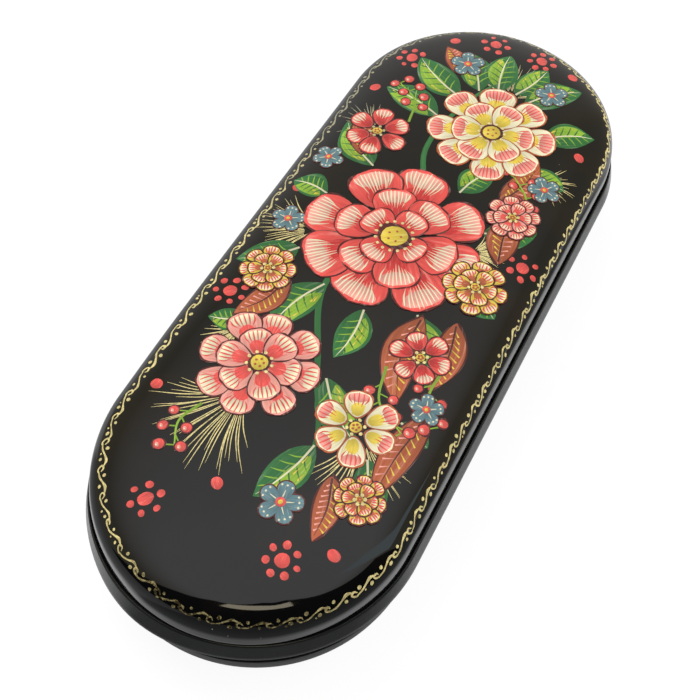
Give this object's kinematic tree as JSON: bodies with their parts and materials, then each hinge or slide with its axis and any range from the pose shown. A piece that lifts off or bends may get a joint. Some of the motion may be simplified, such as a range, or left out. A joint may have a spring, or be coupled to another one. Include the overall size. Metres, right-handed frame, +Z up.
{
  "type": "eyeglass case",
  "caption": "Hard spectacle case with round ends: a hinged, gently domed lacquered lid closing over the inner sleeve of a velvet-lined tray.",
  "frame": {"origin": "middle of the flat underside, on the surface that the case stands on", "axes": "+X along the case, +Y towards the hinged long side, +Z up through the lid"},
  "size_m": [0.1676, 0.0666, 0.0304],
  "materials": {
    "gloss_lacquer": "pressed pulp board under polished black lacquer, painted on the lid",
    "satin_lacquer": "pressed pulp board under satin black lacquer",
    "sleeve_lacquer": "thin pulp board under black lacquer",
    "velvet": "short-pile red velvet",
    "brass": "drawn brass, lightly aged"
  },
  "bodies": {
    "base": {"tray_shell": "satin_lacquer", "base_rim": "satin_lacquer", "inner_sleeve": "sleeve_lacquer", "tray_wall_lining": "velvet", "tray_floor_lining": "velvet", "hinge_left_base_leaf": "brass", "hinge_left_base_nail_1": "brass", "hinge_left_base_nail_2": "brass", "hinge_left_pin": "brass", "hinge_right_base_leaf": "brass", "hinge_right_base_nail_1": "brass", "hinge_right_base_nail_2": "brass", "hinge_right_pin": "brass"},
    "lid": {"lid_shell": "gloss_lacquer", "lid_lining": "velvet", "hinge_left_lid_leaf": "brass", "hinge_left_lid_nail_1": "brass", "hinge_left_lid_nail_2": "brass", "hinge_right_lid_leaf": "brass", "hinge_right_lid_nail_1": "brass", "hinge_right_lid_nail_2": "brass"}
  },
  "joints": [
    {"name": "lid_hinge", "type": "hinge", "parent": "base", "child": "lid", "pos_m": [0, 0.0319, 0.0208], "axis": [-1, 0, 0], "range_deg": [0, 105]}
  ]
}
